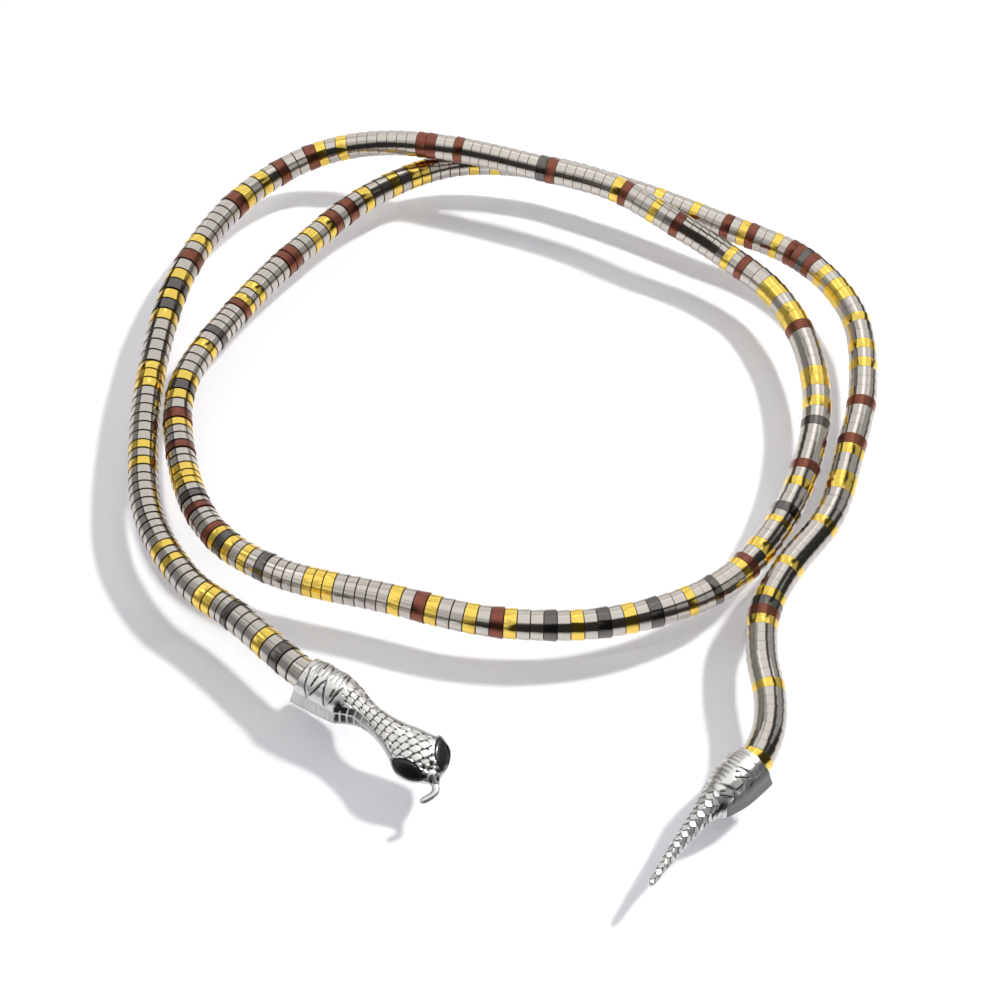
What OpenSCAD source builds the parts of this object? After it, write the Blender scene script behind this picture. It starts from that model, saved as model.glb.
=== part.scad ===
// Bendable snake necklace, laid down in a double loop
// It lies on the plane z = 0, with the middle of its outline at x = 0, y = 0.
// A long chain of close rings ends in a cast snake's head and a cast tail.

/* [Chain] */
// Outer diameter of the ring chain
chain_d = 6; // [5.6:0.1:6.1]
// Diameter of the chain's ends inside the collars
chain_end_d = 5.5; // [5:0.1:5.5]
// Places along the chain at which the tube's outline is set
tube_rings = 80; // [74:1:80]
// Flat sides of the tube
tube_sides = 12; // [8:4:12]

/* [Collars] */
// Gap between the chain's end and the collar's bore
bore_gap = 0.25; // [0.2:0.01:0.3]
// Depth of each bore from the middle of its mouth
bore_depth = 3.6; // [3.4:0.1:4]
// How far the top of a mouth leans forward of its foot
mouth_lean = 1.5; // [0:0.1:2]

/* [Cast relief] */
// Height of scales, leaves and ridges
relief_h = 0.26; // [0.1:0.02:0.3]
// Pitch of the scales along the head
scale_pitch = 1.74; // [1.5:0.06:2.4]
// Pitch of the scales along the tail
tail_scale_pitch = 1.8; // [1.5:0.06:2.4]
// Distance between the two leaves on a collar
leaf_pitch = 3.5; // [3.2:0.1:3.8]
// Width of each leaf at its middle
leaf_w = 3.1; // [2.4:0.1:3.2]
// Distance from the middle of the top to a leaf's tip, round the collar
leaf_reach = 5.4; // [4:0.2:6]

/* [Eyes] */
// Length of each pointed oval eye stone
eye_l = 6; // [5.6:0.1:6.2]
// Width of each eye stone
eye_w = 3; // [2.8:0.1:3.2]
// Thickness of each eye stone
eye_t = 1.5; // [1.3:0.1:1.6]
// Height of the rounded part of each eye stone
eye_dome = 0.5; // [0.3:0.1:0.6]
// Outward tilt of each eye
eye_tilt = 36; // [25:1:45]
// Gap between each eye stone and its setting
eye_gap = 0.1; // [0.08:0.01:0.15]
// Width of the rim of metal round each eye stone
eye_rim = 0.35; // [0.3:0.05:0.45]

/* [Hidden] */

// The chain's middle above the surface, and its narrower ends
lying_h = chain_d / 2;
chain_end_l = 3.9;
end_step = 0.5;
small = 0.02;

// Bores in the collars, a little above where the chain lies
mouth_u = -0.8;
bore_z = lying_h + 0.45;
bore_r = chain_end_d / 2 / cos(180 / tube_sides) + bore_gap;
collar_h = 7;
lean_fades_over = 4;

// Lower half of a section: share of its depth past which it is flat, and where its foot widens
flat_share = 1.08;
foot_from = 0.1;
foot_over = 0.25;

// Points round each casting's sections, points and sections to each scale, steps along a course
head_sides = 48;
tail_sides = 32;
scale_points = 4;
scale_sections = 3;
walk_steps = 40;

// Where the relief starts and ends along the head and the tail
head_leaf_u = 3;
head_scales_u = 9;
head_ridge_u = 12;
head_smooth_u = 25;
nose_u = 29;
tail_leaf_u = 2.8;
tail_scales_u = 10;
tail_smooth_u = 28;
leaf_edge = 0.5;
scale_fades_at = 1.6;
ridge_angle = 7.5;

// Eye stones: points round them, and depth of their backs under the line through their tips
eye_sides = 24;
eye_sink = 0.95;
eye_hole_h = 4;
// Pointed shape of the oval, and steps of the rounded top: share of length, of width, of height
oval_power = 1.35;
DOME = [[1, 1, 0], [0.88, 0.82, 0.75], [0.6, 0.5, 1]];

// Where the chain runs, from inside the head's collar to inside the tail's collar
// Columns: x, y, height of the middle above where it lies
ROUTE = [
    [-33.5, -54.1, 0.45], [-36.6, -52.1, 0.4], [-41.5, -47.5, 0.15], [-49.8, -39.6, 0], [-60, -31, 0],
    [-69, -15.5, 0], [-72.5, 5.5, 0], [-73, 27, 0], [-71, 47.5, 0], [-65, 66, 0],
    [-55.5, 80.5, 0], [-43.5, 88, 1.8], [-29, 88, 5], [-12.5, 84, 6.6], [6.5, 77.5, 6.6],
    [23, 70.5, 6.6], [35.5, 62, 4.5], [47.5, 54, 1.2], [56.5, 44, 0], [61.5, 28, 0],
    [61, 8, 0], [53, -14.5, 0], [39.5, -32, 0], [19.5, -40.5, 0], [-2, -41, 0],
    [-23, -35.5, 0], [-43.5, -29.5, 0], [-57, -19, 0], [-64.5, -1, 0], [-66, 19, 0],
    [-56, 41.5, 0], [-44.5, 59.5, 0], [-31, 76, 0], [-13, 86.5, 0], [8, 85.5, 0],
    [28, 77, 0], [47, 66, 0], [64, 54.5, 0], [72.5, 37.5, 0], [71.5, 16.5, 0],
    [66, -2, 0], [60.5, -16.5, 0], [51.5, -28.5, 0], [46, -38.5, 0], [44.5, -48, 0],
    [45, -56.5, 0.05], [44.1, -63.2, 0.2], [41.5, -69, 0.4], [38.9, -71.7, 0.45]];
// Chord distance from the route's start to each of its points
function run_to(i) = i == 0 ? 0 : run_to(i - 1) + norm(ROUTE[i] - ROUTE[i - 1]);
run = [for (i = [0:len(ROUTE) - 1]) run_to(i)];

// Where each casting starts, in the middle of its collar's mouth
head_at = [-36, -52.5];
tail_at = [41, -69.5];

// Course of the head and the tongue
// Columns: distance along, heading, heading square to the section
HEAD_LINE = [
    [0, -32.5, -32.5], [7, -33, -33], [11, -42, -38], [16, -40, -40], [21, -35, -47], [24.5, -40, -60],
    [28, -64, -64], [30.8, -66, -66], [31.8, -82, -82], [33.7, -150, -150], [36.2, -168, -168]];
// Form of the head and the tongue
// Columns: distance along, half width, extra half width at the foot, underside, top,
// height of the widest place, squareness of the lower half
HEAD_FORM = [
    [-0.8, 3.7, 0.85, 0, 6.95, 3, 9], [2, 3.8, 0.75, 0, 7.1, 3, 9], [6, 3.8, 0.55, 0, 7.2, 3, 9],
    [8.8, 3.5, 0.4, 0, 6.8, 3, 9], [11.2, 2.9, 0.1, 0.6, 6.3, 3.1, 5], [13.5, 2.4, 0, 1.2, 5.9, 3.3, 3],
    [16.5, 2.2, 0, 1.4, 5.5, 3.3, 3], [19.5, 2.8, 0, 1, 5.2, 3, 2.5], [22.5, 3.9, 0, 0.6, 5, 2.8, 2.5],
    [25, 4.8, 0, 0.3, 4.8, 2.6, 2.5], [27, 4.8, 0, 0.2, 4.3, 2.3, 2.5], [28.8, 3.85, 0, 0.3, 3.6, 2.1, 2.5],
    [30.2, 2.3, 0, 0.7, 2.9, 1.9, 2.5], [30.9, 1.1, 0, 1, 2.4, 1.7, 2.5], [31.6, 0.75, 0, 0.9, 1.9, 1.4, 2.5],
    [33, 0.75, 0, 0.5, 1.4, 1, 2.5], [35.2, 0.7, 0, 0.2, 0.9, 0.6, 2.5], [36.2, 0.3, 0, 0.3, 0.7, 0.5, 2.5]];

// Course and form of the tail, with the same columns
TAIL_LINE = [[0, -134, -134], [9, -136, -134], [14, -130, -131], [29, -125.5, -125.5]];
TAIL_FORM = [
    [-0.8, 3.65, 0.75, 0, 6.9, 3, 9], [2, 3.65, 0.7, 0, 6.9, 3, 9], [6, 3.55, 0.5, 0, 6.9, 3, 9],
    [9.8, 2.8, 0.3, 0, 6.1, 3, 9], [11.5, 2.2, 0, 0.4, 5.4, 3.1, 5], [14, 1.75, 0, 0.8, 4.7, 2.9, 3],
    [18, 1.35, 0, 0.8, 3.8, 2.4, 2.5], [23, 0.95, 0, 0.6, 2.7, 1.8, 2.5], [27, 0.7, 0, 0.4, 1.9, 1.2, 2.5],
    [28.6, 0.5, 0, 0.5, 1.6, 1.1, 2.5], [29.1, 0.25, 0, 0.7, 1.3, 1, 2.5]];

// Where the tips of the left eye lie on the head
// Columns: distance along, distance to the side, height
EYE_BACK = [24.9, 4.5, 3.4];
EYE_FRONT = [29.7, 1.7, 2];

// Curves through the rows of a table
function row_at(rows, i) =
    i < 0 ? 2 * rows[0] - rows[1] :
    i > len(rows) - 1 ? 2 * rows[len(rows) - 1] - rows[len(rows) - 2] : rows[i];
function curve(a, b, c, d, t) =
    (2 * b + (c - a) * t + (2 * a - 5 * b + 4 * c - d) * t * t + (3 * b - a - 3 * c + d) * t * t * t) / 2;
function through(rows, s) =
    let (i = min(floor(s), len(rows) - 2))
    curve(row_at(rows, i - 1), row_at(rows, i), row_at(rows, i + 1), row_at(rows, i + 2), s - i);
function ease(t) = let (k = max(0, min(1, t))) k * k * (3 - 2 * k);
function eased(rows, u, col, i = 1) =
    i == len(rows) ? rows[0][col] :
    (rows[i][col] - rows[i - 1][col]) * ease((u - rows[i - 1][0]) / (rows[i][0] - rows[i - 1][0]))
        + eased(rows, u, col, i + 1);
function unit(v) = v / norm(v);

// Closed skin over rings of points that all have the same length
module skin(rings) {
    n = len(rings[0]);
    m = len(rings);
    first = [for (i = [0:n - 1]) i];
    sides = [for (k = [0:m - 2], i = [0:n - 1]) let (j = (i + 1) % n)
        each [[k * n + j, k * n + i, (k + 1) * n + i], [k * n + j, (k + 1) * n + i, (k + 1) * n + j]]];
    last = [for (i = [n - 1:-1:0]) (m - 1) * n + i];
    polyhedron(points = [for (r = rings) each r], faces = concat([first], sides, [last]), convexity = 10);
}

// Tube along the route, with flats below, above and at the sides
function tube_at(s) = let (p = through(ROUTE, s)) [p[0], p[1], lying_h + max(0, p[2])];
function place_of(d, i = 0) =
    (i > len(ROUTE) - 3 || d < run[i + 1]) ? i + (d - run[i]) / (run[i + 1] - run[i]) : place_of(d, i + 1);
function tube_ring(distance, d) =
    let (
        s = place_of(distance),
        along = unit(tube_at(s + small) - tube_at(s - small)),
        side = unit(cross([0, 0, 1], along)),
        top = cross(along, side),
        r = d / 2 / cos(180 / tube_sides))
    [for (i = [0:tube_sides - 1]) let (a = (i + 0.5) * 360 / tube_sides)
        tube_at(s) + r * (cos(a) * side + sin(a) * top)];

module ring_chain() {
    end = run[len(run) - 1];
    a = chain_end_l + end_step;
    b = end - a;
    between = tube_rings - 5;
    color("silver")
        skin(concat(
            [tube_ring(0, chain_end_d), tube_ring(chain_end_l, chain_end_d)],
            [for (i = [0:between]) tube_ring(a + (b - a) * i / between, chain_d)],
            [tube_ring(end - chain_end_l, chain_end_d), tube_ring(end, chain_end_d)]));
}

// A casting's own frame, from distance along, distance to the side and height
function course(at, line, u) =
    at + u / walk_steps * [for (i = [1:walk_steps]) 1] * [for (i = [1:walk_steps])
        let (h = eased(line, u * (i - 0.5) / walk_steps, 1)) [cos(h), sin(h)]];
function place(at, line, p) =
    let (h = eased(line, p[0], 2), c = course(at, line, p[0]))
    [c[0] - sin(h) * p[1], c[1] + cos(h) * p[1], p[2]];
function lean_at(u, z) = mouth_lean * z / collar_h * max(0, min(1, 1 - (u - mouth_u) / lean_fades_over));

// Row of the form at a distance along, with no foot or underside below zero
function last_row(rows, u, i = 0) = (i > len(rows) - 3 || u < rows[i + 1][0]) ? i : last_row(rows, u, i + 1);
function form_at(rows, u) =
    let (i = last_row(rows, u), f = through(rows, i + (u - rows[i][0]) / (rows[i + 1][0] - rows[i][0])))
    [u, f[1], max(0, f[2]), max(0, f[3]), f[4], f[5], f[6]];

// Point of a section: domed above, square below with a foot, and raised outwards by the relief
function section_point(f, a, rise) =
    let (
        c = cos(a),
        s = sin(a),
        power = 2 / f[6],
        foot = f[2] * ease((-s - foot_from) / foot_over),
        y = s >= 0 ? c * f[1] : sign(c) * pow(abs(c), power) * (f[1] + foot),
        z = s >= 0 ? f[5] + (f[4] - f[5]) * s : max(f[3], f[5] - (f[5] - f[3]) * flat_share * pow(-s, power)),
        out = unit([c * (f[4] - f[5]), s * f[1]]))
    [y + out[0] * rise, z + out[1] * rise];

// Rings of a casting
function bore_ring(at, line, u, n) =
    [for (k = [0:n - 1]) let (a = 360 * k / n, z = bore_z + bore_r * sin(a), lean = u < 0 ? lean_at(u, z) : 0)
        place(at, line, [u + lean, bore_r * cos(a), z])];
function outer_ring(at, line, f, n, rises) =
    [for (k = [0:n - 1]) let (p = section_point(f, 360 * k / n, rises[k]))
        place(at, line, [f[0] + lean_at(f[0], p[1]), p[0], p[1]])];

// Two pointed leaves across the top of a collar
function leaf_rise(f, a, from) =
    a > 180 ? 0 :
    let (
        round_at = abs(90 - a) * PI / 180 * (f[1] + f[4] - f[5]) / 2,
        half = leaf_w / 2 * max(0, 1 - pow(round_at / leaf_reach, 2)),
        near = min([for (i = [0, 1]) abs(f[0] - from - i * leaf_pitch)]))
    relief_h * ease((half - near) / leaf_edge);
// Scales in offset rows, with a groove on every fourth point and every third section
function scale_rise(i, k) =
    i % scale_sections == 0 ||
    (k + (floor(i / scale_sections) % 2) * scale_points / 2) % scale_points == 0 ? 0 : relief_h;
function head_rise(f, a, i, k) =
    f[0] < head_scales_u ? leaf_rise(f, a, head_leaf_u) :
    f[0] < head_smooth_u && a > 2 * ridge_angle && a < 180 - 2 * ridge_angle ? scale_rise(i, k) :
    f[0] > head_ridge_u && f[0] < nose_u && abs(90 - abs(90 - a) - ridge_angle) < 1 ? relief_h : 0;
function tail_rise(f, a, i, k) =
    f[0] < tail_scales_u ? leaf_rise(f, a, tail_leaf_u) :
    f[0] < tail_smooth_u && abs(180 - abs(a - 90)) > 75 ? scale_rise(i, k) * min(1, f[1] / scale_fades_at) : 0;

// Casting: the bore from its blind end to the mouth, then the outside from the mouth to the tip
module casting(at, line, form, n, pitch, is_head) {
    d = pitch / scale_sections;
    count = floor((form[len(form) - 1][0] - mouth_u) / d);
    skin(concat(
        [bore_ring(at, line, bore_depth, n), bore_ring(at, line, mouth_u, n)],
        [for (i = [0:count]) let (f = form_at(form, mouth_u + d * i))
            outer_ring(at, line, f, n, [for (k = [0:n - 1]) let (a = 360 * k / n)
                is_head ? head_rise(f, a, i, k) : tail_rise(f, a, i, k)])]));
}

// Pointed oval prism or stone, in the eye's own frame: x along it, y across, z outwards
function oval(l, w, z) =
    [for (k = [0:eye_sides - 1]) let (a = 360 * k / eye_sides)
        [l / 2 * cos(a), sign(sin(a)) * w / 2 * pow(abs(sin(a)), oval_power), z]];
module oval_block(more, low, high) {
    skin([oval(eye_l + more, eye_w + more, low), oval(eye_l + more, eye_w + more, high)]);
}
module stone() {
    girdle = eye_t - eye_dome;
    skin(concat(
        [oval(eye_l, eye_w, 0)],
        [for (r = DOME) oval(eye_l * r[0], eye_w * r[1], girdle + eye_dome * r[2])]));
}

// Moves an eye's own frame to one side of the head, 1 for the left and -1 for the right
module at_eye(side) {
    back = place(head_at, HEAD_LINE, [EYE_BACK[0], side * EYE_BACK[1], EYE_BACK[2]]);
    front = place(head_at, HEAD_LINE, [EYE_FRONT[0], side * EYE_FRONT[1], EYE_FRONT[2]]);
    along = unit(front - back);
    level = unit(cross([0, 0, 1], along));
    out = cos(eye_tilt) * cross(along, level) + sin(eye_tilt) * side * level;
    across = cross(out, along);
    base = (front + back) / 2 - eye_sink * out;
    multmatrix([
        [along[0], across[0], out[0], base[0]],
        [along[1], across[1], out[1], base[1]],
        [along[2], across[2], out[2], base[2]],
        [0, 0, 0, 1]])
        children();
}
module left_eye() { color("black") at_eye(1) stone(); }
module right_eye() { color("black") at_eye(-1) stone(); }

module head() {
    rim = 2 * (eye_gap + eye_rim);
    color("silver")
        difference() {
            union() {
                casting(head_at, HEAD_LINE, HEAD_FORM, head_sides, scale_pitch, true);
                for (side = [1, -1]) at_eye(side) oval_block(rim, -eye_rim, eye_t - eye_dome - eye_gap);
            }
            for (side = [1, -1]) at_eye(side) oval_block(2 * eye_gap, -eye_gap, eye_hole_h);
        }
}

module tail() {
    color("silver") casting(tail_at, TAIL_LINE, TAIL_FORM, tail_sides, tail_scale_pitch, false);
}

ring_chain();
head();
left_eye();
right_eye();
tail();
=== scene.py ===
import bpy
import numpy as np
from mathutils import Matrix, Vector


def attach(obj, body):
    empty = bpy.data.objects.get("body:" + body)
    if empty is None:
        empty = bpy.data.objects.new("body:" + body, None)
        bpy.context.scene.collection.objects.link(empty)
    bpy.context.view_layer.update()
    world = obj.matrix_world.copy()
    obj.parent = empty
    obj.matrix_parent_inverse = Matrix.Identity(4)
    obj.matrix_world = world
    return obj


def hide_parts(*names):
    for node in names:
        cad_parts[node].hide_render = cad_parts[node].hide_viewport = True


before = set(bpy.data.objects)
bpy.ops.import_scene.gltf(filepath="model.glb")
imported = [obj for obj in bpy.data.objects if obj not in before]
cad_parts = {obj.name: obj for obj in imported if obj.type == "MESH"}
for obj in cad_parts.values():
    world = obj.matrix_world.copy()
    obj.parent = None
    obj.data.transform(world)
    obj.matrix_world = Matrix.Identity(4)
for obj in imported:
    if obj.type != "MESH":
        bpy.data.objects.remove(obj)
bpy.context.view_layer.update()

MM = 0.001
SHARP_ANGLE = 35

# Camera
LENS = 58.3
SENSOR = 36
CAMERA_AT = (-0.002, -0.2075, 0.24367)
CAMERA_TILT = 39
CAMERA_NEAR = 0.01
CAMERA_FAR = 20

camera = bpy.data.objects.new("camera", bpy.data.cameras.new("camera"))
camera.data.lens = LENS
camera.data.sensor_width = SENSOR
camera.data.clip_start = CAMERA_NEAR
camera.data.clip_end = CAMERA_FAR
camera.location = CAMERA_AT
camera.rotation_euler = (np.radians(CAMERA_TILT), 0, 0)
bpy.context.scene.collection.objects.link(camera)
bpy.context.scene.camera = camera

# Chain
LYING = 0.003
CORE_R = 0.0026
BAND_SINK = 0.00005
END_R = 0.0027
END_GAP = 0.0002
RING_GAP = 0.0001
GROOVE = 0.0003
CHAIN_SIDES = 40
ROUTE_STEPS = 40
RING_SEED = 4
RING_TILT = 0.006
RING_OFF = 0.00002
CHART_FROM = 0.0025
# Outer radius of each kind of ring
RING_R = {"S": 0.0029, "G": 0.00292, "C": 0.00297, "K": 0.00297}
# Form of a ring. Columns: share of its length, share of the way from the groove to the outside,
# and darkness, which is painted shade in the groove between rings
RING_FORM = ((0, 0, 1), (0.07, 0, 1), (0.08, 1, 0), (0.99, 0.4, 0))
# Route of the middle. Columns: x, y, height above the lying height
ROUTE = (
    (-0.0335, -0.0541, 0.00045), (-0.0366, -0.0521, 0.0004), (-0.0415, -0.0475, 0.00015),
    (-0.0498, -0.0396, 0), (-0.06, -0.031, 0), (-0.069, -0.0155, 0), (-0.0725, 0.0055, 0),
    (-0.073, 0.027, 0), (-0.071, 0.0475, 0), (-0.065, 0.066, 0), (-0.0555, 0.0805, 0),
    (-0.0435, 0.088, 0.0018), (-0.029, 0.088, 0.005), (-0.0125, 0.084, 0.0066),
    (0.0065, 0.0775, 0.0066), (0.023, 0.0705, 0.0066), (0.0355, 0.062, 0.0045),
    (0.0475, 0.054, 0.0012), (0.0565, 0.044, 0), (0.0615, 0.028, 0), (0.061, 0.008, 0),
    (0.053, -0.0145, 0), (0.0395, -0.032, 0), (0.0195, -0.0405, 0), (-0.002, -0.041, 0),
    (-0.023, -0.0355, 0), (-0.0435, -0.0295, 0), (-0.057, -0.019, 0), (-0.0645, -0.001, 0),
    (-0.066, 0.019, 0), (-0.056, 0.0415, 0), (-0.0445, 0.0595, 0), (-0.031, 0.076, 0),
    (-0.013, 0.0865, 0), (0.008, 0.0855, 0), (0.028, 0.077, 0), (0.047, 0.066, 0),
    (0.064, 0.0545, 0), (0.0725, 0.0375, 0), (0.0715, 0.0165, 0), (0.066, -0.002, 0),
    (0.0605, -0.0165, 0), (0.0515, -0.0285, 0), (0.046, -0.0385, 0), (0.0445, -0.048, 0),
    (0.045, -0.0565, 0.00005), (0.0441, -0.0632, 0.0002), (0.0415, -0.069, 0.0004),
    (0.0389, -0.0717, 0.00045),
)
# Rings from the head to the tail: S nickel, G gold, C copper, K gunmetal
# Columns: rings, distance along the route in millimetres where the last of them ends
CHART = (
    ("SS", 7.5), ("KSGSSS", 21.5), ("KSS", 26), ("GGSSS", 36), ("SGSGSSSSS", 52.5),
    ("SSSSSGSG", 69.5), ("SSSSSSGGG", 91), ("SSSSGK", 109), ("GKGSC", 124.5), ("SGSSSSS", 142),
    ("CGSG", 154), ("SCSSC", 167.5), ("GSGS", 178), ("SSSSSSCC", 196.5), ("SSCSS", 207),
    ("SSSSSSKCSSSSSSG", 240.5), ("CSSSGSSCSSSSSSGSC", 273.5), ("SSGGS", 287.5),
    ("GGCSSSSGG", 311.5), ("SGS", 320), ("KSSSSCS", 336.5), ("GSSK", 346), ("SG", 349),
    ("SSGS", 359), ("CGSSSKSSG", 374.5), ("SSKSGSKSGSKSSGCSGSSGCSG", 429), ("SSSSSG", 441.5),
    ("GGSSSSKSGSGK", 464), ("GCSSSCS", 475), ("KSGG", 482), ("GSSCSSG", 496), ("CSGKGS", 511.5),
    ("SSGS", 520.5), ("KSSSSCGS", 535), ("GSSSSCCSS", 555), ("GSGCS", 567), ("CSGSSGSG", 588.5),
    ("GSSSSGSG", 608.5), ("SSSSSSSSSSSSSSSSGSSS", 655), ("GSSSCSGCSSG", 677), ("SCCK", 684.5),
    ("CSGS", 693), ("GG", 699), ("SSG", 706), ("SSGSGSSSCSSSCG", 743.5), ("SSGGS", 755), ("SS", 760.5),
    ("GSSSSSGSSSGKCGS", 791), ("SSSSSGSSSSSSS", 815.7), ("G", 818.5),
)

# Castings
MOUTH_U = -0.0008
BORE_DEPTH = 0.0036
BORE_Z = 0.00345
BORE_R = 0.0031
COLLAR_H = 0.007
MOUTH_LEAN = 0.0015
COURSE_BEFORE = 0.0032
COURSE_PAST = 0.002
COURSE_STEPS = 1600
LEAN_FADES = 0.004
FLAT_SHARE = 1.08
CASTING_SIDES = 192
CASTING_STEP = 0.00011
UPPER_FADE = 0.6
FLANK_SOFT = 0.0003
MOTTLE = 0.14
MOTTLE_SEED = 7
# Painted shade low on a collar, along its foot: its darkness, then from, to and softness in shares of the
# way down
FOOT_SHADE = 0.6
FOOT_SHADE_BAND = (0.25, 0.8, 0.1)
# Smooth flanks darkened with painted shade: start over the crown and end along in millimetres, darkness of
# the left and the right
HEAD_FLANK_SHADE = (5.5, 9, 0.1, 0.25)
TAIL_FLANK_SHADE = (3.2, 10.2, 0.82, 0.2)
HEAD_AT = (-0.036, -0.0525)
TAIL_AT = (0.041, -0.0695)
# Lines of the castings. Columns, in millimetres and degrees: distance along, heading of the line,
# heading that the section is square to
HEAD_LINE = (
    (0, -32.5, -32.5), (7, -33, -33), (11, -42, -38), (16, -40, -40), (21, -35, -47),
    (24.5, -40, -60), (28, -64, -64), (30.8, -66, -66), (31.8, -82, -82),
    (33.7, -150, -150), (36.2, -168, -168),
)
TAIL_LINE = ((0, -134, -134), (9, -136, -134), (14, -130, -131), (29, -125.5, -125.5))
# Course of a casting: where its line starts, and the line
HEAD_COURSE = (HEAD_AT, HEAD_LINE)
TAIL_COURSE = (TAIL_AT, TAIL_LINE)
# Forms of the castings. Columns, in millimetres: distance along, half width, extra half width at the
# foot, underside, top, height of the widest place, and the squareness of the lower half
HEAD_FORM = (
    (-0.8, 3.7, 0.85, 0, 6.95, 3, 9), (2, 3.8, 0.75, 0, 7.1, 3, 9), (6, 3.8, 0.55, 0, 7.2, 3, 9),
    (8.8, 3.5, 0.4, 0, 6.8, 3, 9), (11.2, 2.9, 0.1, 0.6, 6.3, 3.1, 5), (13.5, 2.4, 0, 1.2, 5.9, 3.3, 3),
    (16.5, 2.2, 0, 1.4, 5.5, 3.3, 3), (19.5, 2.8, 0, 1, 5.2, 3, 2.5), (22.5, 3.9, 0, 0.6, 5, 2.8, 2.5),
    (25, 4.8, 0, 0.3, 4.8, 2.6, 2.5), (27, 4.8, 0, 0.2, 4.3, 2.3, 2.5), (28.8, 3.85, 0, 0.3, 3.6, 2.1, 2.5),
    (30.2, 2.3, 0, 0.7, 2.9, 1.9, 2.5), (30.9, 1.1, 0, 1, 2.4, 1.7, 2.5), (31.6, 0.7, 0, 0.9, 1.9, 1.4, 2),
    (33, 0.68, 0, 0.4, 1.5, 0.95, 2), (35, 0.64, 0, 0.1, 1.1, 0.6, 2), (35.5, 0.48, 0, 0.2, 1, 0.55, 2),
    (35.75, 0.15, 0, 0.35, 0.7, 0.5, 2),
)
TAIL_FORM = (
    (-0.2, 3.65, 0.75, 0, 6.9, 3, 9), (2, 3.65, 0.7, 0, 6.9, 3, 9), (6, 3.55, 0.5, 0, 6.9, 3, 9),
    (9.8, 2.8, 0.3, 0, 6.1, 3, 9), (11.5, 2.2, 0, 0.4, 5.4, 3.1, 5), (14, 1.75, 0, 0.8, 4.7, 2.9, 3),
    (18, 1.35, 0, 0.8, 3.8, 2.4, 2.5), (23, 0.95, 0, 0.6, 2.7, 1.8, 2.5), (27, 0.7, 0, 0.4, 1.9, 1.2, 2.5),
    (28.4, 0.5, 0, 0.5, 1.6, 1.1, 2.5), (28.8, 0.25, 0, 0.7, 1.3, 1, 2.5),
)

# Relief of the castings
LEAF_RISE = 0.0002
LEAF_EDGE = 0.00045
CUT_HALF = 0.00008
CUT_DEPTH = 0.00024
LEAF_EDGE_SHADE = 0.3
RIDGE_STEP = 0.0009
RIDGE_HALF = 0.0001
RIDGE_DEPTH = 0.00008
RIDGE_TARNISH = 0.35
BRICK_L = 0.00145
BRICK_CUT = 0.00007
BRICK_DEPTH = 0.0001
PIT_L = 0.0002
PIT_W = 0.00011
PIT_DEPTH = 0.00016
JOINT_TARNISH = 0.22
PIT_TARNISH = 0.8
RUNG_TARNISH = 0.7
RIM_TARNISH = 0.6
CELL_U = 0.00145
CELL_SIDE = 0.0017
CELL_DEPTH = 0.0002
CELL_FADE = 0.65
BAR_HALF = 0.0001
RIM_HALF = 0.00017
RIM_RISE = 0.00015
RIM_APART = 0.0007
RUNG = 0.0009
SCALE_L = 0.00105
SCALE_BULGE = 0.55
SCALE_RISE = 0.00022
SCALE_LINE = 0.08
SPOT_REACH = 1.5
# Leaves across a collar. Columns, in millimetres: middle, half width at the crown, reach to the side
HEAD_LEAVES = ((3, 2.9, 5.8), (6.9, 2, 6))
TAIL_LEAVES = ((2.9, 2.5, 6.4), (7, 2.5, 6.4))
# Ridges across a collar. In millimetres: from and to along, from and to over the crown
HEAD_RIDGES = (1, 8.4, -0.8, 3.5)
HEAD_RIBS = (1.2, 8.8, 5.7, 14)
TAIL_RIDGES = (1, 9.4, -3.2, 0.9)
# Engraved lines. Columns, in millimetres: distance along and to the side at each end
HEAD_CUTS = (
    (1, 1.9, 1.6, 3.6), (1.6, 3.6, 2.8, 5.5), (3.5, 4.7, 4.7, 2.3), (3.3, 3, 3.6, 1),
    (5.6, 2, 6.6, 5.2), (7.5, 4.1, 8.3, 1.5), (7.3, 2.9, 7.5, 1.4),
)
TAIL_CUTS = (
    (6.6, 2, 4.6, 3.7), (5.7, 1.4, 5.3, 1.9), (10.3, 2.1, 8.8, 4.1), (9.8, 1.7, 9.4, 2.2),
    (6.2, 3.7, 7.8, 3.5), (8.2, 3.6, 8.6, 4.6), (4.6, 4.6, 5.2, 5.4), (8.6, 4.6, 9, 5.4),
)
# Upper edge of the sunk cells on the flanks. Columns, in millimetres: distance along, to the side
HEAD_CELLS = ((8.4, 4.2), (10.6, 2.6), (12.6, 1.4), (15.6, 1.2))
CELL_ROWS = 2
# Rim along both sides of the neck and head. Columns, in millimetres: distance along, to the side
HEAD_RIM = ((9, 2.2), (14.5, 1.7), (18, 1.8), (21, 2.2), (24, 3), (25.2, 3.7))
# Turn of the head towards its right side. Columns, in millimetres: distance along, shift of the crown
HEAD_TURN = ((12, 0), (16, 0.4), (22, 0.6), (27, 0.4), (30, 0))
# Turn of the tail towards its right side
TAIL_TURN = 0.0012
# Width of a scale. Columns, in millimetres: distance along, width
HEAD_WIDTHS = ((9, 1.2), (17, 1.1), (22, 1.4), (25, 1.35), (29, 0.95))
TAIL_WIDTHS = ((10, 1.5), (18, 1.3), (28, 0.9))
HEAD_SCALES = (0.009, 0.0293)
TAIL_SCALES = (0.0101, 0.0284)
# Pits and beads. Columns, in millimetres: distance along, to the side, size, rise
HEAD_SPOTS = (
    (9.6, 3.5, 0.9, -0.1), (9.9, 2.8, 0.35, 0.1),
    (28.6, 0.55, 0.3, -0.15), (29.3, 0.2, 0.25, -0.12), (30, 1, 0.4, -0.2), (29.6, 0.75, 0.25, 0.15),
    (30.3, 0, 0.4, 0.15), (31, 0.6, 0.3, -0.12),
)
TAIL_SPOTS = ((11.2, 4.6, 1.6, -0.1), (12.4, 4.1, 0.9, -0.1))

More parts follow.
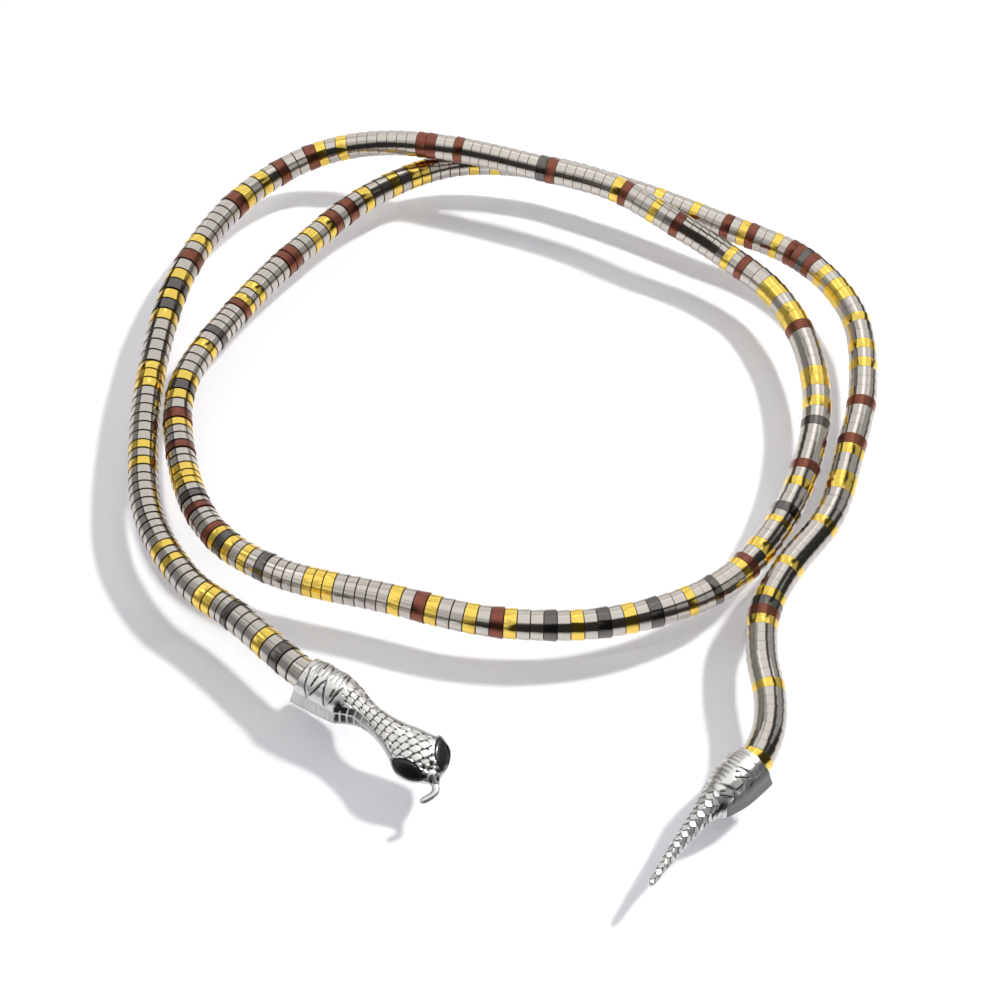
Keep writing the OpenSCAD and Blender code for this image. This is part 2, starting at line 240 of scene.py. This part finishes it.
# Eyes
EYE_BACK = (0.0249, 0.0045, 0.0034)
EYE_FRONT = (0.0297, 0.0017, 0.002)
EYE_L = 0.006
EYE_W = 0.003
EYE_T = 0.0015
EYE_DOME = 0.0005
EYE_TILT = 36
EYE_SINK = 0.00095
EYE_GAP = 0.0001
BEZEL_GAP = 0.00004
EYE_RIM = 0.00042
SOCKET_FLOOR = 0.0004
EYE_SIDES = 64
OVAL_POWER = 1.35
# Columns: share of the outline, share of the dome's height
DOME = ((1, 0), (0.97, 0.28), (0.9, 0.52), (0.78, 0.73), (0.6, 0.89), (0.38, 0.97), (0.15, 1.0))


def through(rows, t):
    """Smooth curve through the rows of a table, at the places t counted in rows."""
    rows = np.asarray(rows, float)
    wide = np.vstack([2 * rows[0] - rows[1], rows, 2 * rows[-1] - rows[-2]])
    i = np.clip(np.floor(t).astype(int), 0, len(rows) - 2)
    f = (t - i)[:, None]
    a, b, c, d = (wide[i + k] for k in range(4))
    return (2 * b + (c - a) * f + (2 * a - 5 * b + 4 * c - d) * f**2 + (3 * b - a - 3 * c + d) * f**3) / 2


def ease(t):
    """Soft step from 0 to 1."""
    t = np.clip(t, 0, 1)
    return t * t * (3 - 2 * t)


def unit(v):
    return v / np.linalg.norm(v, axis=-1, keepdims=True)


def full_turn(count):
    """Even angles round a full turn."""
    return np.radians(np.arange(count) * 360 / count)


def mesh_piece(name, parts, material):
    """One piece from parts, each its points, its faces and the darkness at each point, from patina and
    painted shade.
    """
    points = []
    faces = []
    tarnish_and_shade = []
    count = 0
    for part_points, part_faces, part_tarnish_and_shade in parts:
        points.append(part_points)
        faces += [tuple(int(v) + count for v in face) for face in part_faces]
        tarnish_and_shade.append(np.broadcast_to(part_tarnish_and_shade, len(part_points)))
        count += len(part_points)
    mesh = bpy.data.meshes.new(name)
    mesh.from_pydata(np.vstack(points).tolist(), [], faces)
    mesh.update()
    shade = mesh.attributes.new("tarnish_and_shade", "FLOAT", "POINT")
    shade.data.foreach_set("value", np.concatenate(tarnish_and_shade).astype(np.float32))
    mesh.set_sharp_from_angle(angle=np.radians(SHARP_ANGLE))
    mesh.materials.append(material)
    piece = bpy.data.objects.new(name, mesh)
    bpy.context.scene.collection.objects.link(piece)
    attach(piece, "root")
    return piece


def sides(count, size, closed=False):
    """Quads between neighbouring rings of points, numbered ring by ring."""
    k = np.arange(count if closed else count - 1)[:, None]
    i = np.arange(size)[None, :]
    j = (i + 1) % size
    n = (k + 1) % count
    quads = np.stack([k * size + j, k * size + i, n * size + i, n * size + j], -1)
    return quads.reshape(-1, 4).tolist()


def skin(rings):
    """Closed skin over rings of points, with an even face at each end."""
    count, size = rings.shape[:2]
    first = list(range(size))
    last = [(count - 1) * size + i for i in range(size - 1, -1, -1)]
    return rings.reshape(-1, 3), [first] + sides(count, size) + [last]


# Route of the chain
rows_along = np.linspace(0, len(ROUTE) - 1, (len(ROUTE) - 1) * ROUTE_STEPS + 1)
line = through(ROUTE, rows_along)
line[:, 2] = LYING + np.maximum(line[:, 2], 0)
run = np.concatenate([[0], np.cumsum(np.linalg.norm(np.diff(line, axis=0), axis=1))])
heading = unit(np.gradient(line, axis=0))


def on_route(s):
    """Middle of the chain, and its directions along, to the side and up, at distances s."""
    middle = np.stack([np.interp(s, run, line[:, k]) for k in range(3)], -1)
    along = unit(np.stack([np.interp(s, run, heading[:, k]) for k in range(3)], -1))
    side = unit(np.cross((0, 0, 1), along))
    return middle, along, side, np.cross(along, side)


chain_angle = full_turn(CHAIN_SIDES)


def tube_rings(s, radius, lean):
    """Rings of points round the route at distances s. Lean moves a ring's middle off the route."""
    middle, along, side, top = on_route(s)
    middle = middle + lean[:, :1] * side + lean[:, 1:] * top
    across = np.cos(chain_angle)[None, :, None] * side[:, None]
    upward = np.sin(chain_angle)[None, :, None] * top[:, None]
    return middle[:, None] + radius[:, None, None] * (across + upward)


def charted_rings():
    """Kind, start and end of every ring."""
    rings = []
    start = CHART_FROM
    for kinds, end_mm in CHART:
        step = (end_mm * MM - start) / len(kinds)
        for i, kind in enumerate(kinds):
            rings.append((kind, start + i * step, start + (i + 1) * step))
        start = end_mm * MM
    return rings


charted = charted_rings()
leans = np.random.default_rng(RING_SEED).normal(0, RING_TILT, (len(charted), 2))


def ring_rows(start, end, radius, lean):
    """Distance, radius, lean and tarnish of each row of one ring."""
    share, height, dark = np.array(RING_FORM).T
    s = start + share * (end - start)
    off = np.clip((s - (start + end) / 2)[:, None] * lean[None], -RING_OFF, RING_OFF)
    return s, radius - GROOVE * (1 - height), off, dark


def nickel_chain():
    """Core of the chain with the nickel rings on it, and its bare ends inside the castings."""
    s = [np.array([END_GAP, CHART_FROM - RING_GAP])]
    radius = [np.array([END_R, END_R])]
    lean = [np.zeros((2, 2))]
    # Darkness of each row: painted shade on the bare ends inside the castings and in each ring's groove
    dark = [np.ones(2)]
    for (kind, start, end), tilt in zip(charted, leans):
        row_s, row_r, row_lean, row_dark = ring_rows(start, end, RING_R["S"], tilt)
        if kind != "S":
            row_r = np.full_like(row_r, CORE_R)
            row_lean = row_lean * 0
        s.append(row_s)
        radius.append(row_r)
        lean.append(row_lean)
        dark.append(row_dark)
    s.append(np.array([charted[-1][2] + RING_GAP, run[-1] - END_GAP]))
    radius.append(np.array([END_R, END_R]))
    lean.append(np.zeros((2, 2)))
    dark = np.repeat(np.concatenate(dark + [np.ones(2)]), CHAIN_SIDES)
    return [(*skin(tube_rings(np.concatenate(s), np.concatenate(radius), np.vstack(lean))), dark)]


def band_chain(wanted):
    """Closed bands for the rings of one kind, sunk into the grooves of the chain's core."""
    parts = []
    for (kind, start, end), tilt in zip(charted, leans):
        if kind != wanted:
            continue
        s, radius, lean, dark = ring_rows(start, end, RING_R[kind], tilt)
        s = np.concatenate([s, [end, end, start]])
        inside = CORE_R - BAND_SINK
        radius = np.concatenate([radius, [radius[-1], inside, inside]])
        lean = np.vstack([lean, np.zeros((3, 2))])
        points = tube_rings(s, radius, lean)
        # Painted shade in the groove, and on the hidden inner rows
        dark = np.repeat(np.concatenate([dark, np.ones(3)]), CHAIN_SIDES)
        parts.append((points.reshape(-1, 3), sides(len(s), CHAIN_SIDES, closed=True), dark))
    return parts


def eased(rows, u, column):
    """Value of a column at the distances u, easing from row to row."""
    rows = np.asarray(rows, float)
    value = np.full_like(u, rows[0, column])
    for before, after in zip(rows[:-1], rows[1:]):
        value = value + (after[column] - before[column]) * ease((u - before[0]) / (after[0] - before[0]))
    return value


def place(course, u, v, z):
    """Points of a casting from the distance along, the distance to the side and the height."""
    at, line_rows = course
    fine = np.linspace(-COURSE_BEFORE, line_rows[-1][0] * MM + COURSE_PAST, COURSE_STEPS)
    way = np.radians(eased(line_rows, fine / MM, 1))
    step = np.diff(fine)
    x = np.concatenate([[0], np.cumsum(np.cos((way[1:] + way[:-1]) / 2) * step)])
    y = np.concatenate([[0], np.cumsum(np.sin((way[1:] + way[:-1]) / 2) * step)])
    x = x - np.interp(0, fine, x)
    y = y - np.interp(0, fine, y)
    square = np.radians(eased(line_rows, u / MM, 2))
    px = at[0] + np.interp(u, fine, x) - v * np.sin(square)
    py = at[1] + np.interp(u, fine, y) + v * np.cos(square)
    return np.stack(np.broadcast_arrays(px, py, z), -1)


def form_at(rows, u):
    """Form of a casting in metres at the distances u, on smooth curves through its rows."""
    rows = np.array(rows, float)
    rows[:, :6] *= MM
    place_in = np.interp(u, rows[:, 0], np.arange(len(rows)))
    form = through(rows, place_in)
    form[:, 2] = np.maximum(form[:, 2], 0)
    form[:, 3] = np.maximum(form[:, 3], 0)
    return form


def lean_at(u, z):
    """How far a point at the height z moves along, as the mouth leans back."""
    return MOUTH_LEAN * z / COLLAR_H * np.clip(1 - (u - MOUTH_U) / LEAN_FADES, 0, 1)


def section(form, angle):
    """Sideways and upward place of every point of the sections, and the outward direction there."""
    half, foot, under, top, middle, square = (form[:, k : k + 1] for k in range(1, 7))
    c = np.cos(angle)[None]
    s = np.sin(angle)[None]
    low = np.maximum(-s, 0)
    power = 2 / square
    z_low = np.maximum(under, middle - (middle - under) * FLAT_SHARE * low**power)
    out_foot = foot * (middle - z_low) / (middle - under)
    y = np.where(s >= 0, c * half, np.sign(c) * np.abs(c) ** power * (half + out_foot))
    z = np.where(s >= 0, middle + (top - middle) * s, z_low)
    out = unit(np.stack([c * (top - middle), s * half], -1))
    return y, z, out


def line_at(distance, half):
    """Share of a line: 1 within its half width, 0 from twice that on."""
    return ease(2 - np.abs(distance) / half)


def edge_of(share):
    """Share that is 1 halfway up a soft edge and 0 on both sides of it."""
    return 4 * share * (1 - share)


def within(value, low, high, soft):
    """1 between low and high, and 0 outside them, with soft edges inside."""
    return ease((value - low) / soft) * ease((high - value) / soft)


def read(rows, u):
    """Value in metres at the distances u, from rows of two columns in millimetres."""
    at, value = np.array(rows, float).T * MM
    return np.interp(u, at, value)


def leaves(u, side, rows):
    """Share of the raised leaves, which taper from the crown down both sides."""
    raised = np.zeros(np.broadcast(u, side).shape)
    for middle, half, reach in np.array(rows) * MM:
        raised = np.maximum(raised, ease((half * (1 - side / reach) - np.abs(u - middle)) / LEAF_EDGE))
    return raised


def cuts(u, side, rows):
    """Share of the engraved lines, each straight between two places."""
    cut = np.zeros(np.broadcast(u, side).shape)
    for u_from, side_from, u_to, side_to in np.array(rows) * MM:
        du = u_to - u_from
        ds = side_to - side_from
        t = np.clip(((u - u_from) * du + (side - side_from) * ds) / (du**2 + ds**2), 0, 1)
        cut = np.maximum(cut, line_at(np.hypot(u - u_from - t * du, side - side_from - t * ds), CUT_HALF))
    return cut


def ridges_across(u, over, zone):
    """Share of the grooves between the ridges across a collar."""
    from_u, to_u, from_over, to_over = np.array(zone) * MM
    there = within(u, from_u, to_u, RIDGE_STEP / 2) * within(over, from_over, to_over, RIDGE_STEP / 2)
    return there * line_at(u % RIDGE_STEP - RIDGE_STEP / 2, RIDGE_HALF)


def bricks(u, over, width):
    """Joints between scales in offset rows, and the pits where they meet."""
    row = np.floor(u / BRICK_L)
    across = (over / width + (row % 2) / 2) % 1
    along = (u / BRICK_L) % 1
    gap_u = np.minimum(along, 1 - along) * BRICK_L
    gap_over = np.minimum(across, 1 - across) * width
    joint = np.maximum(line_at(gap_u, BRICK_CUT), line_at(gap_over, BRICK_CUT))
    return joint, ease(2 - np.hypot(gap_u / PIT_L, gap_over / PIT_W))


def cells(u, side):
    """Share of sinking in the rows of square cells on the flanks, and where the rows are."""
    down = side - read(HEAD_CELLS, u)
    start = HEAD_CELLS[0][0] * MM
    end = HEAD_CELLS[-1][0] * MM
    step_u = (u - start) % CELL_U
    step_s = down % CELL_SIDE
    gap = np.minimum(np.minimum(step_u, CELL_U - step_u), np.minimum(step_s, CELL_SIDE - step_s))
    there = (u > start) & (u < end) & (down > 0) & (down < CELL_ROWS * CELL_SIDE)
    return ease(gap / BAR_HALF - 1) * there, there


def spotted(u, side, rows, rise, dark):
    """Adds pits, which are tarnished, and beads."""
    for at, out, size, height in np.array(rows) * MM:
        near = ease(SPOT_REACH - np.hypot(u - at, side - out) / size)
        rise = rise + height * near
        # Adds pits, which are darkened with patina, and beads.
        dark = np.maximum(dark, near * (height < 0))
    return rise, dark


def head_relief(u, over):
    """Rise and darkness of the head's skin: patina in its engravings, and painted shade along the leaves'
    edges.
    """
    over = over + read(HEAD_TURN, u)
    side = np.abs(over)
    cut = cuts(u, side, HEAD_CUTS)
    raised = leaves(u, side, HEAD_LEAVES)
    sunk, flank = cells(u, side)
    rim = read(HEAD_RIM, u)
    on_top = (u > HEAD_SCALES[0]) & (u < HEAD_SCALES[1]) & ~flank & (side < rim)
    joint, pit = bricks(u, over, read(HEAD_WIDTHS, u))
    joint = joint * on_top
    pit = pit * on_top
    by_rim = within(u, HEAD_RIM[1][0] * MM, HEAD_RIM[-1][0] * MM, RUNG) * ~flank
    ridges = np.maximum(line_at(side - rim - RIM_HALF, RIM_HALF), line_at(side - rim - RIM_APART, RIM_HALF))
    rungs = line_at((u % RUNG) - RUNG / 2, BRICK_CUT) * within(side - rim, RIM_HALF, RIM_APART, RIM_HALF)
    grooves = np.maximum(ridges_across(u, over, HEAD_RIDGES), ridges_across(u, side, HEAD_RIBS))
    rise = LEAF_RISE * raised - CUT_DEPTH * cut - CELL_DEPTH * sunk - RIDGE_DEPTH * grooves
    rise = rise - BRICK_DEPTH * joint - PIT_DEPTH * pit + RIM_RISE * ridges * by_rim
    dark = np.maximum(cut, np.maximum(JOINT_TARNISH * joint, PIT_TARNISH * pit))
    # Patina in the ridge grooves, and painted shade down the leaves' soft edges
    dark = np.maximum(dark, np.maximum(RIDGE_TARNISH * grooves, LEAF_EDGE_SHADE * edge_of(raised)))
    fade_from = HEAD_CELLS[1][0] * MM
    fade_to = HEAD_CELLS[-1][0] * MM
    fade = 1 - CELL_FADE * ease((u - fade_from) / (fade_to - fade_from))
    dark = np.maximum(dark, sunk * fade)
    dark = np.maximum(dark, RUNG_TARNISH * rungs * by_rim * (1 - ridges))
    dark = np.maximum(dark, RIM_TARNISH * by_rim * line_at(side - rim, BRICK_CUT))
    dark = np.maximum(dark, RIM_TARNISH * by_rim * line_at(side - rim - RIM_APART / 2, BRICK_CUT))
    return spotted(u, side, HEAD_SPOTS, rise, dark)


def fish_scales(u, over, width):
    """Overlapping round scales: height from root to free edge, and the dark line past each edge."""
    row = u / SCALE_L
    first = np.floor(row)

    def edge(k):
        across = (over / width + (k % 2) / 2) % 1 - 0.5
        return k + 1 + SCALE_BULGE * (1 - 4 * across**2)

    over_it = row < edge(first - 1)
    end = np.where(over_it, edge(first - 1), edge(first))
    before = np.where(over_it, edge(first - 2), edge(first - 1))
    return 1 - np.clip(end - row, 0, 1), line_at(row - before, SCALE_LINE)


def tail_relief(u, over):
    """Rise and darkness of the tail's skin: patina in its engravings and between its scales, and painted
    shade along the leaves' edges.
    """
    over = over + TAIL_TURN
    side = np.abs(over)
    cut = cuts(u, side, TAIL_CUTS)
    raised = leaves(u, side, TAIL_LEAVES)
    height, edge = fish_scales(u, over, read(TAIL_WIDTHS, u))
    scaled = within(u, *TAIL_SCALES, BAR_HALF)
    grooves = ridges_across(u, over, TAIL_RIDGES)
    rise = LEAF_RISE * raised * (1 - scaled) - CUT_DEPTH * cut + SCALE_RISE * (height - 1) * scaled
    # Patina in the ridge grooves, and painted shade down the leaves' soft edges
    dark = np.maximum(RIDGE_TARNISH * grooves, LEAF_EDGE_SHADE * edge_of(raised)) * (1 - scaled)
    dark = np.maximum(dark, np.maximum(cut, edge * scaled))
    return spotted(u, side, TAIL_SPOTS, rise - RIDGE_DEPTH * grooves, dark)


def casting(course, form_rows, relief, flanks):
    """Rings of points of a casting, from the bottom of its bore round its mouth, and the darkness at each
    point: patina in the engravings, and painted shade along the leaves' edges, on the flanks, low on the
    collar and inside the bore.
    """
    angle = full_turn(CASTING_SIDES)
    end = form_rows[-1][0] * MM
    mouth_u = form_rows[0][0] * MM
    u = np.arange(mouth_u, end, CASTING_STEP)
    form = form_at(form_rows, u)
    y, z, out = section(form, angle)
    half, top, middle = (form[:, k : k + 1] for k in (1, 4, 5))
    over = np.abs(np.pi / 2 - angle)[None] * (half + top - middle) / 2 * np.sign(np.cos(angle))[None]
    rise, dark = relief(u[:, None], over)
    upper = ease(np.sin(angle)[None] / UPPER_FADE + 1)
    rise = rise * upper
    flank_from, flank_end, left_shade, right_shade = flanks
    # Painted shade on the smooth flanks, heavier on one side than the other
    flank = ease((np.abs(over) - flank_from * MM) / FLANK_SOFT) * (u[:, None] < flank_end * MM)
    dark = np.maximum(dark * upper, flank * np.where(over > 0, left_shade, right_shade))
    # Painted shade along the bottom of the collar
    foot = within(-np.sin(angle)[None], *FOOT_SHADE_BAND) * (u[:, None] < flank_end * MM)
    dark = np.maximum(dark, FOOT_SHADE * foot)
    dark = dark + MOTTLE * np.random.default_rng(MOTTLE_SEED).random(dark.shape) * (1 - dark)
    y = y + out[..., 0] * rise
    z = z + out[..., 1] * rise
    u_all = u[:, None] + lean_at(u[:, None], z)
    outer = place(course, u_all, y, z)
    bore_y = BORE_R * np.cos(angle)
    bore_z = BORE_Z + BORE_R * np.sin(angle)
    inner = place(course, np.full_like(bore_y, BORE_DEPTH), bore_y, bore_z)
    mouth = place(course, mouth_u + lean_at(mouth_u, bore_z), bore_y, bore_z)
    # The bore and the mouth are dark: painted shade inside the casting
    dark = np.concatenate([np.ones((2, len(angle))), dark]).ravel()
    return np.concatenate([inner[None], mouth[None], outer]), dark


def eye_frame(side):
    """Middle of an eye's base and its directions along, across and out."""
    flip = np.array((1, side, 1))
    back = place(HEAD_COURSE, *(np.array(EYE_BACK) * flip))
    front = place(HEAD_COURSE, *(np.array(EYE_FRONT) * flip))
    along = unit(front - back)
    level = unit(np.cross((0, 0, 1), along))
    tilt = np.radians(EYE_TILT)
    out = np.cos(tilt) * np.cross(along, level) + np.sin(tilt) * side * level
    return (front + back) / 2 - EYE_SINK * out, along, np.cross(out, along), out


def oval(length, width):
    """Outline with a point at each end of its length."""
    c = np.cos(full_turn(EYE_SIDES))
    s = np.sin(full_turn(EYE_SIDES))
    return np.stack([length / 2 * c, width / 2 * np.sign(s) * np.abs(s) ** OVAL_POWER], -1)


def at_eye(side, rows):
    """Rings of flat points with a height each, set at an eye."""
    base, along, across, out = eye_frame(side)
    points = [base + p[:, :1] * along + p[:, 1:] * across + h * out for p, h in rows]
    return np.array(points)


def stone(side):
    """Domed stone on a straight girdle."""
    girdle = EYE_T - EYE_DOME
    flat = oval(EYE_L, EYE_W)
    rows = [(flat, 0)] + [(flat * share, girdle + EYE_DOME * rise) for share, rise in DOME]
    return (*skin(at_eye(side, rows)), 0)


def bezel(side):
    """Rim round a stone, sunk into the casting."""
    inner = oval(EYE_L + 2 * BEZEL_GAP, EYE_W + 2 * BEZEL_GAP)
    wide = 2 * (EYE_GAP + EYE_RIM)
    outer = oval(EYE_L + wide, EYE_W + wide)
    crown = (inner + outer) / 2
    top = EYE_T - EYE_DOME
    rows = [(inner, 0), (inner, top - EYE_GAP), (crown, top), (outer, top - EYE_RIM / 2), (outer, -EYE_RIM)]
    points = at_eye(side, rows)
    return points.reshape(-1, 3), sides(len(rows), EYE_SIDES, closed=True), 0


def sink_sockets(points):
    """Lets the casting's skin down inside each bezel, under the stone."""
    for side in (-1, 1):
        base, along, across, out = eye_frame(side)
        local = points - base
        x = local @ along / (EYE_L / 2 + EYE_GAP)
        y = local @ across / (EYE_W / 2 + EYE_GAP)
        h = local @ out
        edge = (1 - np.clip(np.abs(x), 0, 1) ** 2) ** (OVAL_POWER / 2)
        inside = (np.abs(x) < 1) & (np.abs(y) < edge) & (h > 0)
        drop = np.where(inside, np.maximum(h - SOCKET_FLOOR, 0), 0)
        points = points - drop[..., None] * out
    return points


# Materials
def plain(name, colour, roughness, metallic):
    material = bpy.data.materials.new(name)
    material.use_nodes = True
    shader = material.node_tree.nodes["Principled BSDF"]
    shader.inputs["Base Color"].default_value = (*colour, 1)
    shader.inputs["Roughness"].default_value = roughness
    shader.inputs["Metallic"].default_value = metallic
    return material


def metal(name, colour, roughness, tarnish_and_shade_colour, tarnish_and_shade_roughness):
    """Metal darkened by the point attribute: patina in the castings' engravings, and painted shade in the
    chain's grooves and on the castings.
    """
    material = plain(name, colour, roughness, 1)
    nodes = material.node_tree.nodes
    links = material.node_tree.links
    tarnish_and_shade = nodes.new("ShaderNodeAttribute")
    tarnish_and_shade.attribute_name = "tarnish_and_shade"
    tint = nodes.new("ShaderNodeMix")
    tint.data_type = "RGBA"
    tint.inputs["A"].default_value = (*colour, 1)
    tint.inputs["B"].default_value = (*tarnish_and_shade_colour, 1)
    dull = nodes.new("ShaderNodeMapRange")
    dull.inputs["To Min"].default_value = roughness
    dull.inputs["To Max"].default_value = tarnish_and_shade_roughness
    links.new(tarnish_and_shade.outputs["Fac"], tint.inputs["Factor"])
    links.new(tarnish_and_shade.outputs["Fac"], dull.inputs["Value"])
    links.new(tint.outputs["Result"], nodes["Principled BSDF"].inputs["Base Color"])
    links.new(dull.outputs["Result"], nodes["Principled BSDF"].inputs["Roughness"])
    return material


# Metals. Columns: name, colour, roughness, colour where darkened by patina and painted shade, roughness
# there
METALS = (
    ("nickel", (0.61, 0.565, 0.515), 0.15, (0.07, 0.055, 0.045), 0.4),
    ("gold", (0.95, 0.68, 0.14), 0.14, (0.16, 0.07, 0.01), 0.4),
    ("copper", (0.25, 0.09, 0.06), 0.28, (0.05, 0.02, 0.015), 0.5),
    ("gunmetal", (0.16, 0.15, 0.14), 0.16, (0.03, 0.03, 0.03), 0.4),
    ("cast metal", (0.78, 0.765, 0.745), 0.27, (0.022, 0.021, 0.02), 0.45),
)
EYE_COLOUR = (0.005, 0.005, 0.006)
EYE_ROUGHNESS = 0.27
nickel, gold, copper, gunmetal, cast = (metal(*row) for row in METALS)
eye_black = plain("eye black", EYE_COLOUR, EYE_ROUGHNESS, 0)

# Pieces
nickel_rings = mesh_piece("nickel_rings", nickel_chain(), nickel)
gold_rings = mesh_piece("gold_rings", band_chain("G"), gold)
copper_rings = mesh_piece("copper_rings", band_chain("C"), copper)
gunmetal_rings = mesh_piece("gunmetal_rings", band_chain("K"), gunmetal)
for piece in (nickel_rings, gold_rings, copper_rings, gunmetal_rings):
    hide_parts("ring_chain")

head_rings, head_dark = casting(HEAD_COURSE, HEAD_FORM, head_relief, HEAD_FLANK_SHADE)
head_skin = (*skin(sink_sockets(head_rings)), head_dark)
snake_head = mesh_piece("snake_head", [head_skin, bezel(-1), bezel(1)], cast)
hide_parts("head")
tail_rings, tail_dark = casting(TAIL_COURSE, TAIL_FORM, tail_relief, TAIL_FLANK_SHADE)
snake_tail = mesh_piece("snake_tail", [(*skin(tail_rings), tail_dark)], cast)
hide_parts("tail")
left_stone = mesh_piece("left_stone", [stone(1)], eye_black)
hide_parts("left_eye")
right_stone = mesh_piece("right_stone", [stone(-1)], eye_black)
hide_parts("right_eye")

# Clear sheet that carries the necklace, and the white ground below it
GROUND_HALF = 1.5
SHEET_T = 0.0087
SHEET_IOR = 1.45
GROUND_COLOUR = (0.94, 0.94, 0.945)
GROUND_ROUGHNESS = 0.7
# The ground glows faintly bluish: painted light that lifts and tints the shadows on it
GROUND_GLOW = 0.085
GLOW_COLOUR = (0.72, 0.7, 1, 1)


def stage_plane(name, height, material):
    h = GROUND_HALF
    mesh = bpy.data.meshes.new(name)
    corners = [(-h, -h, height), (h, -h, height), (h, h, height), (-h, h, height)]
    mesh.from_pydata(corners, [], [(0, 1, 2, 3)])
    mesh.materials.append(material)
    plane = bpy.data.objects.new(name, mesh)
    bpy.context.scene.collection.objects.link(plane)
    return plane


def clear_material(name):
    material = bpy.data.materials.new(name)
    material.use_nodes = True
    nodes = material.node_tree.nodes
    links = material.node_tree.links
    nodes.clear()
    through_it = nodes.new("ShaderNodeBsdfTransparent")
    shine = nodes.new("ShaderNodeBsdfGlossy")
    shine.inputs["Roughness"].default_value = 0
    amount = nodes.new("ShaderNodeFresnel")
    amount.inputs["IOR"].default_value = SHEET_IOR
    seen_from = nodes.new("ShaderNodeNewGeometry")
    above = nodes.new("ShaderNodeMath")
    above.operation = "SUBTRACT"
    above.inputs[0].default_value = 1
    above.use_clamp = True
    top_only = nodes.new("ShaderNodeMath")
    top_only.operation = "MULTIPLY"
    mix = nodes.new("ShaderNodeMixShader")
    out = nodes.new("ShaderNodeOutputMaterial")
    links.new(seen_from.outputs["Backfacing"], above.inputs[1])
    links.new(amount.outputs["Fac"], top_only.inputs[0])
    links.new(above.outputs["Value"], top_only.inputs[1])
    links.new(top_only.outputs["Value"], mix.inputs["Fac"])
    links.new(through_it.outputs["BSDF"], mix.inputs[1])
    links.new(shine.outputs["BSDF"], mix.inputs[2])
    links.new(mix.outputs["Shader"], out.inputs["Surface"])
    return material


clear_sheet = stage_plane("clear_sheet", 0, clear_material("clear"))
white = plain("ground", GROUND_COLOUR, GROUND_ROUGHNESS, 0)
# Faint bluish glow: painted light in the shadows on the ground
glowing = white.node_tree.nodes["Principled BSDF"].inputs
glowing["Emission Color"].default_value = GLOW_COLOUR
glowing["Emission Strength"].default_value = GROUND_GLOW
ground = stage_plane("ground", -SHEET_T, white)

# Light
WORLD_COLOUR = (1, 1, 1, 1)
WORLD_LEVEL = 0.03
world = bpy.data.worlds.new("studio")
world.use_nodes = True
backdrop = world.node_tree.nodes["Background"].inputs
backdrop["Color"].default_value = WORLD_COLOUR
backdrop["Strength"].default_value = WORLD_LEVEL
bpy.context.scene.world = world

# Lamps. Columns: name, azimuth in degrees from the back to the right, elevation in degrees,
# distance, width, height, brightness
LIGHTS = (
    ("key", 76, 57, 0.8, 0.07, 0.07, 320),
    ("overhead", -25, 82, 3, 3.1, 3.1, 1.04),
    ("back", 8, 38, 3, 4.6, 2.1, 0.86),
    ("backdrop", 0, 8, 3.2, 3.4, 1.5, 0.75),
    ("front_left", -123, 41, 3, 2.1, 2.3, 0.62),
    ("left_high", -80, 50, 3, 2.9, 1.3, 0.48),
    ("left", -94, 16, 3, 7.6, 2.6, 0.26),
    ("front_right", 131, 37, 3, 1.4, 2, 0.5),
    ("right", 68, 27, 3, 1.7, 2, 0.42),
)
for name, azimuth, elevation, distance, width, height, brightness in LIGHTS:
    a = np.radians(azimuth)
    e = np.radians(elevation)
    away = Vector((np.sin(a) * np.cos(e), np.cos(a) * np.cos(e), np.sin(e)))
    light = bpy.data.lights.new(name, "AREA")
    light.shape = "RECTANGLE"
    light.size = width
    light.size_y = height
    light.energy = brightness * np.pi * width * height
    lamp = bpy.data.objects.new(name, light)
    lamp.location = away * distance
    lamp.rotation_euler = away.to_track_quat("Z", "Y").to_euler()
    bpy.context.scene.collection.objects.link(lamp)

# The rings scatter the small main lamp in the photo, so it isn't mirrored in them
key_lit = bpy.data.collections.new("lit_by_key")
for piece in (clear_sheet, ground, snake_head, snake_tail, left_stone, right_stone):
    key_lit.objects.link(piece)
bpy.data.objects["key"].light_linking.receiver_collection = key_lit

bpy.context.scene.view_settings.view_transform = "Standard"
